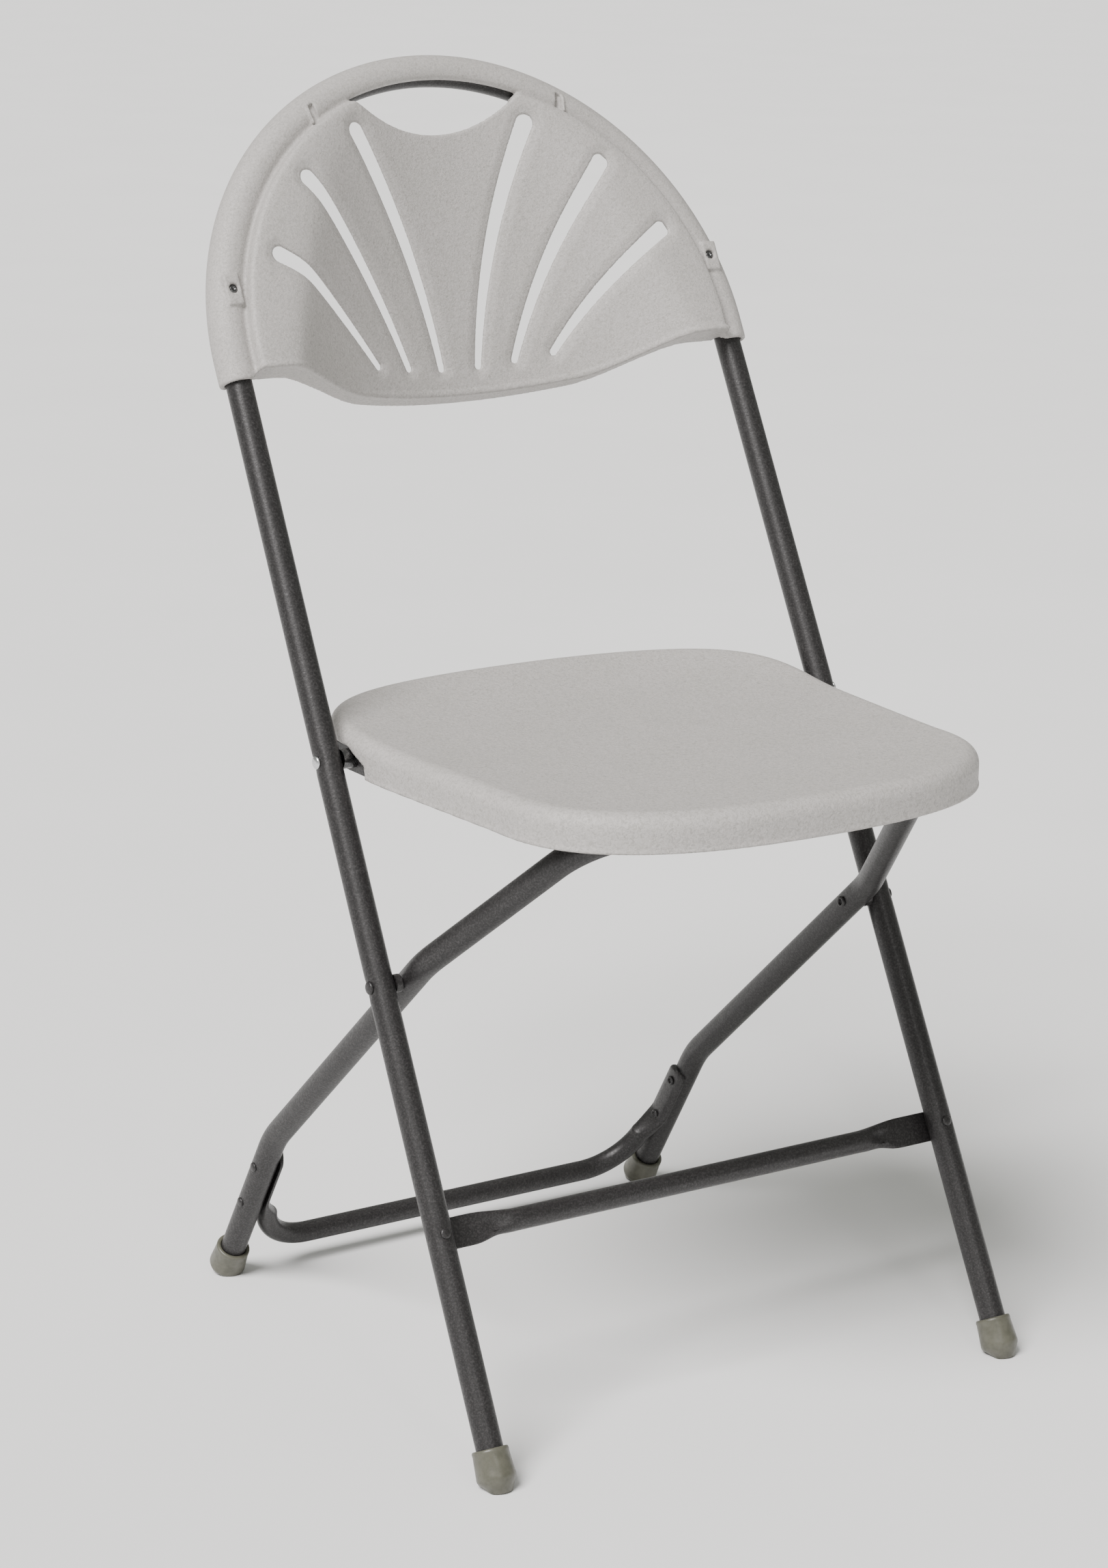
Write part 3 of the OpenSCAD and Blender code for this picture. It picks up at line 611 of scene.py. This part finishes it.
def build_rivets():
    brace_parts, bores = [], []
    behind = FRONT_BRACE_N - FLAT_HALF_T
    for _, side in SIDES:
        x = side * main_half(FRONT_BRACE_S)
        front = from_plane((x, FRONT_BRACE_S, TUBE_R - 0.55))
        back = from_plane((x, FRONT_BRACE_S, behind))
        brace_parts.append(lathe(head_profile(FRONT_HEAD_R, 1.7), front, PLANE_FRONT))
        brace_parts.append(lathe(tail_profile(FRONT_TAIL_R, 1.5, 0.3), back, -PLANE_FRONT))
    mesh_piece("front_brace_rivet_set", *joined(brace_parts), paint, "main_frame", ["front_brace_rivets"],
               "frame_paint")
    rear_parts = []
    for _, side in SIDES:
        for q in REAR_RIVET_Q:
            outer = from_shin((side * (REAR_HALF + TUBE_R - 0.3), q, 0))
            inner = from_shin((side * (STRIP_X - 2 * STRIP_HALF_T), q, 0))
            rear_parts.append(lathe(head_profile(REAR_HEAD_R, 1.6), outer, side * X))
            rear_parts.append(lathe(tail_profile(REAR_TAIL_R, 1.9, 0.35), inner, -side * X))
            bores.append((inner, -side * X, 1.75, "rear_legs"))
    mesh_piece("rear_brace_rivet_set", *joined(rear_parts), paint, "rear_legs", ["rear_brace_rivets"],
               "frame_paint")
    for name, side in SIDES:
        outer = leg_pivot + X * side * (main_half(LEG_PIVOT_S) + TUBE_R - 0.7)
        inner = leg_pivot + X * side * (REAR_HALF - TUBE_R - 0.15)
        shank = leg_pivot + X * side * (REAR_HALF + TUBE_R - 1)
        parts = [lathe(head_profile(LEG_HEAD_R, 2.1), outer, side * X),
                 lathe(tail_profile(LEG_TAIL_R, 2.2, 0.3), inner, -side * X),
                 lathe(shank_profile(6), shank, side * X)]
        mesh_piece(f"leg_pivot_pin_{name}", *joined(parts), paint, "main_frame",
                   [f"leg_pivot_rivet_{name}"], "frame_paint")
        bores.append((inner, -side * X, 2.1, "main_frame"))
        outer = seat_pivot + X * side * (main_half(SEAT_PIVOT_S) + TUBE_R - 0.6)
        inner = seat_pivot + X * side * (BRACKET_X - BRACKET_T - 0.1)
        parts = [lathe(head_profile(SEAT_HEAD_R, 2.2), outer, side * X),
                 lathe(tail_profile(SEAT_TAIL_R, 2.1, 0.3), inner, -side * X),
                 lathe(shank_profile(12), inner, side * X)]
        mesh_piece(f"seat_pivot_pin_{name}", *joined(parts), plated, "main_frame",
                   [f"seat_pivot_rivet_{name}"], "zinc_plated")
    # A near-black disc in each rivet's bore: painted shade for the bore's unlit depth.
    for i, (centre, axis, r, body) in enumerate(bores):
        disc = lathe([(0, 0.05), (r * 0.6, 0.1), (r, 0.3), (r, 0.0), (0, -0.1)], centre, axis, 20)
        mesh_piece(f"rivet_bore_{i}", *disc, bore, body, [], "frame_paint")


# ---------------------------------------------------------------- back moulding

RIM_R = 14.0
TUBE_CLEAR = 9.85
CREST_R, CREST_N = 200.5, 22.0          # the raised edge between panel and rim
# the fan's slots: outer end, inner end, bow, width at each end
SLOTS = (((163, 869), (76, 797), 5, 12.5, 5.5), ((125, 925), (46, 796), 7, 13, 5.5),
         ((72, 961), (16, 795), 8, 13.5, 5.5))
SCOOP_R, SCOOP_LOW, HOLD_TOP = 110.0, 162.0, 202.0
PAD = (204.6, 847.0, 15.5)              # the screws' pads: x, s and the height of the face
TAB = (105.0, 975.6)                    # the snap tabs' marks: x and s
RIM_FOOT = 782.0
LIP_LOW, LIP_CORNER = 774.0, 786.0
# the rim goes round the arch tube from inside the crest, over the front, to behind the tube
RING_FROM, RING_TO = math.radians(168), math.radians(-66)
FLANGE_HALF_T = 1.6                     # the lower lip's flange, turned back from the face


def slot_distance(x, s, outer, inner, bow, w_outer, w_inner):
    """Distance from one bowed, tapered slot, seen square to the frame's plane."""
    outer, inner = np.array(outer, float), np.array(inner, float)
    length = np.linalg.norm(inner - outer)
    run = (inner - outer) / length
    side = np.array([run[1], -run[0]])
    along = (x - outer[0]) * run[0] + (s - outer[1]) * run[1]
    t = np.clip(along / length, 0, 1)
    off = (x - outer[0]) * side[0] + (s - outer[1]) * side[1] - bow * 4 * t * (1 - t)
    over = np.maximum(np.maximum(-along, along - length), 0)
    return np.hypot(off, over) - (w_outer + (w_inner - w_outer) * t) / 2


# the panel's hollow: its depth at the arch's centre, its slope up the frame and its bowl across
PANEL_DEPTH, PANEL_SLOPE, PANEL_BOWL, PANEL_BOWL_4 = 42, 0.28, 0.0021, 1e-8
SLOT_SINK, SLOT_SINK_REACH = 1.5, 8     # how far the face dips towards a slot, and from where


def panel_front(x, s, slots):
    """How far the panel's front face stands out of the frame's plane."""
    raw = -PANEL_DEPTH + PANEL_SLOPE * (s - ARCH_S) + PANEL_BOWL * x * x + PANEL_BOWL_4 * x ** 4
    face = soft_min(raw, CREST_N, 8)
    return face - SLOT_SINK * (1 - smooth(slots / SLOT_SINK_REACH))


def back_field(x, s, n):
    """Distance from the back moulding: a dished, slotted panel and the rim around the arch tube."""
    ax = np.abs(x)
    radial = np.hypot(x, s - ARCH_S)
    r = np.where(s > ARCH_S, radial, ax)
    rho = np.where(s > ARCH_S, radial - ARCH_R, ax - ARCH_R - (ARCH_S - s) * math.tan(SPREAD))
    around = np.hypot(rho, n)
    slots = np.min([slot_distance(ax, s, *slot) for slot in SLOTS], axis=0)
    face = panel_front(x, s, slots)
    lip = LIP_LOW + (LIP_CORNER - LIP_LOW) * smooth((ax - 90) / 85)
    lip = lip + (RIM_FOOT - LIP_CORNER) * smooth((ax - 199) / 5)

    ring = np.abs(around - (RIM_R + TUBE_CLEAR) / 2) - (RIM_R - TUBE_CLEAR) / 2
    a, b = RING_FROM, RING_TO
    wedge = soft_max(math.sin(a) * rho - math.cos(a) * n, math.cos(b) * n - math.sin(b) * rho, 1.0)
    ring = cut(ring, wedge, 1.2)

    outer = soft_max(n - face, r - CREST_R, 4)
    inner = soft_max(n - face + SHELL_WALL, r - CREST_R + SHELL_WALL, 3)
    panel = cut(outer, inner, 0.8)
    panel = np.maximum(panel, np.minimum(2 - n, r - 193))
    deep = 19 + 9 * smooth((ax - 120) / 60)
    flange = np.abs(s - lip - FLANGE_HALF_T) - FLANGE_HALF_T
    flange = np.maximum(flange, np.maximum(n - face, face - deep - n))
    flange = np.maximum(flange, r - CREST_R)
    panel = join(panel, flange, 2.5)

    pad = box_field(ax - PAD[0], s - PAD[1], n - PAD[2] + 4, (6.2, 11.2, 4), 0.8)
    body = join(join(ring, panel, 4), pad, 1.5)
    body = soft_max(body, lip - s, 1.2)
    body = np.maximum(body, TUBE_CLEAR - around)
    body = cut(body, slots, 1.6)
    scoop = np.hypot(x, s - ARCH_S - SCOOP_LOW - SCOOP_R) - SCOOP_R
    hold = np.maximum(scoop, radial - HOLD_TOP)
    body = cut(body, hold, 2.4)
    hole = np.maximum(np.hypot(ax - PAD[0] + 0.5, s - PAD[1] - 1) - 3.7, PAD[2] - 2.6 - n)
    body = cut(body, hole, 0.5)
    turn = math.atan2(TAB[0], TAB[1] - ARCH_S)
    tx = (ax - TAB[0]) * math.cos(turn) - (s - TAB[1]) * math.sin(turn)
    ts = (ax - TAB[0]) * math.sin(turn) + (s - TAB[1]) * math.cos(turn)
    tab = box_field(tx + 0.35 * ts, ts, n - RIM_R + 0.5, (2.4, 6.5, 3.0), 0.8)
    ridge = box_field(tx + 0.35 * ts - 4.2, ts, n - RIM_R + 1.5, (0.9, 6.0, 2.4), 0.7)
    return join(cut(body, tab, 0.8), ridge, 1.0)


SCREW_PROFILE = [(0, 0), (3.3, 0), (3.4, 0.4), (3.1, 1.2), (2.0, 1.7), (1.2, 1.75), (1.1, 1.0), (0, 0.9)]


def build_back():
    points, faces = surface_net(back_field, (-228, 768, -68), (228, 1028, 28), GRID)
    mesh_piece("back_moulding", from_plane(points), faces, back_plastic, "main_frame", ["back_shell"],
               "moulded_plastic")
    for name, side in SIDES:
        x = side * (PAD[0] - 0.5)
        seat_of_head = from_plane((x, PAD[1] + 1, PAD[2] - 2.9))
        # The screws take the darker zinc copy, whose colour is painted shade and dirt.
        mesh_piece(f"back_screw_{name}", *lathe(SCREW_PROFILE, seat_of_head, PLANE_FRONT), shaded_dirty_plated,
                   "main_frame", ["back_screws"], "zinc_plated")


# ---------------------------------------------------------------- seat moulding

SEAT_TOP, SKIRT_BOTTOM = 464.5, 437.0
SEAT_HALF, SEAT_FRONT_HALF = 198.0, 187.0
SEAT_FRONT_Y, SEAT_FRONT_B, SEAT_REAR_Y, SEAT_REAR_B = 62.0, 114.5, 230.0, 115.0
SEAT_POWER = 2.5
SEAT_ROUND, SEAT_DISH, SEAT_LIP = 12.0, 5.0, 10.0
SEAT_MIDDLE_Y = 140.0
NOTCH_FRONT, NOTCH_REAR, NOTCH_TOP = 216.0, 338.0, 457.0
NOTCH_SIDE, NOTCH_STEP_Z = 150, 447
RAIL_TOP = 455.0
BOSS_R = 5
RIB_PITCH, RIB_HALF_T = 46, 0.9
BEAD = 0.7                              # how far the skirt's lower edge stands out


def seat_side(x, y):
    """Distance out from the seat's outline, two half superellipses and the sides between them."""
    ax = np.abs(x)
    rear = y > SEAT_REAR_Y
    front = y < SEAT_FRONT_Y
    blend = np.clip((y - SEAT_FRONT_Y) / (SEAT_REAR_Y - SEAT_FRONT_Y), 0, 1)
    half = SEAT_FRONT_HALF + (SEAT_HALF - SEAT_FRONT_HALF) * blend
    dy = np.where(rear, y - SEAT_REAR_Y, np.where(front, SEAT_FRONT_Y - y, 0))
    b = np.where(rear, SEAT_REAR_B, SEAT_FRONT_B)
    u, v = ax / half, dy / b
    k = np.maximum(u ** SEAT_POWER + v ** SEAT_POWER, 1e-9) ** (1 / SEAT_POWER)
    gx = (u / k) ** (SEAT_POWER - 1) / half
    gy = (v / k) ** (SEAT_POWER - 1) / b
    return (k - 1) / np.maximum(np.hypot(gx, gy), 1e-4)


def seat_reach(x, y):
    """0 at the seat's middle and 1 at its rim."""
    run = np.where(y > SEAT_MIDDLE_Y, SEAT_REAR_Y + SEAT_REAR_B - SEAT_MIDDLE_Y,
                   SEAT_MIDDLE_Y - SEAT_FRONT_Y + SEAT_FRONT_B)
    u, v = np.abs(x) / SEAT_HALF, np.abs(y - SEAT_MIDDLE_Y) / run
    return (u ** 3 + v ** 3) ** (1 / 3)


def seat_rise(y):
    return SEAT_LIP * smooth((y - SEAT_REAR_Y + 50) / (SEAT_REAR_B + 50))


def seat_upper(x, y):
    k = np.clip(seat_reach(x, y), 0, 1.1)
    return SEAT_TOP + seat_rise(y) * k ** 3 - SEAT_DISH * (1 - k ** 3)


def seat_field(x, y, z):
    """Distance from the seat moulding: a dished top, a rounded edge and a skirt, open below."""
    ax = np.abs(x)
    side = seat_side(x, y)
    top = seat_upper(x, y)
    bottom = SKIRT_BOTTOM + 0.7 * seat_rise(y)
    bead = BEAD * (1 - smooth((z - bottom - 1.6) / 1.2))
    outer = round_corner(side - bead + BEAD, z - top, SEAT_ROUND)
    inner = round_corner(side + SHELL_WALL + BEAD, z - top + SHELL_WALL, SEAT_ROUND - SHELL_WALL)
    shell = cut(soft_max(outer, bottom - z, 0.8), inner, 0.6)
    hollow = np.maximum(inner - 1, RAIL_TOP - z)
    for spot_x, spot_y in SEAT_SCREWS:
        boss = np.maximum(np.hypot(ax - spot_x, y - spot_y) - BOSS_R, hollow)
        shell = join(shell, boss, 1.5)
    across = np.abs((ax + RIB_PITCH / 2) % RIB_PITCH - RIB_PITCH / 2)
    along = np.abs((y + 4) % RIB_PITCH - RIB_PITCH / 2)
    rib = np.minimum(across, along) - RIB_HALF_T
    shell = join(shell, np.maximum(rib, hollow + 0.4), 1.2)
    edge = NOTCH_FRONT + (z - SKIRT_BOTTOM) * 0.2 + np.maximum(z - NOTCH_STEP_Z, 0) * 1.8
    slant = (y - edge) * 0.55
    notch = np.maximum(np.maximum(-slant, y - NOTCH_REAR), np.maximum(z - NOTCH_TOP, NOTCH_SIDE - ax))
    return cut(shell, notch, 1.0)


def build_seat():
    points, faces = surface_net(seat_field, (-204, -58, 431), (204, 351, 480), GRID)
    points[:, 1] -= Y_MID
    mesh_piece("seat_moulding", points, faces, seat_plastic, "seat", ["seat_shell"], "moulded_plastic")


# ---------------------------------------------------------------- CAD nodes that stay

def finish_cad_nodes():
    """Brackets, rails, spacers and screws keep their CAD shape, with softened edges and a finish."""
    # The seat pivot's spacers take the darker zinc copy: painted shade and dirt where they sit in the
    # seat's notch.
    finishes = {"seat_bracket": paint, "seat_slide_rail": paint, "leg_pivot_spacer": paint,
                "seat_pivot_spacer": shaded_dirty_plated, "seat_screws": plated}
    for name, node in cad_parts.items():
        for start, material in finishes.items():
            if name.startswith(start):
                node.data.materials.clear()
                node.data.materials.append(material)
                bevel = node.modifiers.new("soft_edges", "BEVEL")
                bevel.width = 0.4 * MM
                bevel.segments = 2
                bevel.limit_method = "ANGLE"


# ---------------------------------------------------------------- stage

FLOOR_HALF = 40.0


def build_stage():
    half = FLOOR_HALF
    mesh = bpy.data.meshes.new("floor")
    corners = [(-half, -half, 0), (half, -half, 0), (half, half, 0), (-half, half, 0)]
    mesh.from_pydata(corners, [], [(0, 1, 2, 3)])
    floor = bpy.data.objects.new("floor", mesh)
    bpy.context.scene.collection.objects.link(floor)
    material, tree, shader = node_tree("floor_paint")
    tree.links.new(ramp(tree, noise(tree, 3), [(0.3, 0.82), (0.7, 0.84)]), shader.inputs["Base Color"])
    shader.inputs["Roughness"].default_value = 0.7
    mesh.materials.append(material)

    world = bpy.data.worlds.new("studio")
    world.use_nodes = True
    world.node_tree.nodes["Background"].inputs["Color"].default_value = (0.985, 1.0, 0.93, 1)
    world.node_tree.nodes["Background"].inputs["Strength"].default_value = 0.42
    bpy.context.scene.world = world

    def lamp(name, kind, energy, place, aim, size):
        data = bpy.data.lights.new(name, kind)
        data.energy = energy
        data.color = (1.0, 0.975, 0.97)
        if kind == "AREA":
            data.shape = "RECTANGLE"
            data.size, data.size_y = size
        else:
            data.angle = size
        light = bpy.data.objects.new(name, data)
        light.location = place
        way = Matrix.Translation(aim).translation - light.location
        light.rotation_euler = way.to_track_quat("-Z", "Y").to_euler()
        bpy.context.scene.collection.objects.link(light)

    lamp("key", "SUN", 6.0, (-2.4, -0.9, 3.7), (0, 0, 0.5), math.radians(30))
    lamp("strip", "AREA", 9, (-0.6, -2.6, 1.3), (0, 0, 0.6), (0.35, 1.8))


CAMERA_AT = (-1.51458, -2.23227, 1.14305)
CAMERA_AZIMUTH, CAMERA_ELEVATION, CAMERA_ROLL = (math.radians(a) for a in (-33.455, 15.244, 1.001))
LENS, SENSOR = 89.69, 36


def build_camera():
    az, el, roll = CAMERA_AZIMUTH, CAMERA_ELEVATION, CAMERA_ROLL
    back = np.array([math.sin(az) * math.cos(el), -math.cos(az) * math.cos(el), math.sin(el)])
    level = np.cross(-back, [0, 0, 1])
    level /= np.linalg.norm(level)
    up = np.cross(level, -back)
    right = level * math.cos(roll) + up * math.sin(roll)
    top = -level * math.sin(roll) + up * math.cos(roll)
    camera = bpy.data.objects.new("camera", bpy.data.cameras.new("camera"))
    camera.data.lens = LENS
    camera.data.sensor_width = SENSOR
    turn = Matrix(np.stack([right, top, back], 1).tolist()).to_4x4()
    camera.matrix_world = Matrix.Translation(CAMERA_AT) @ turn
    bpy.context.scene.collection.objects.link(camera)
    bpy.context.scene.camera = camera


build_camera()
build_tubes()
build_front_brace()
build_rear_brace()
build_feet()
build_rivets()
build_back()
build_seat()
finish_cad_nodes()
build_stage()
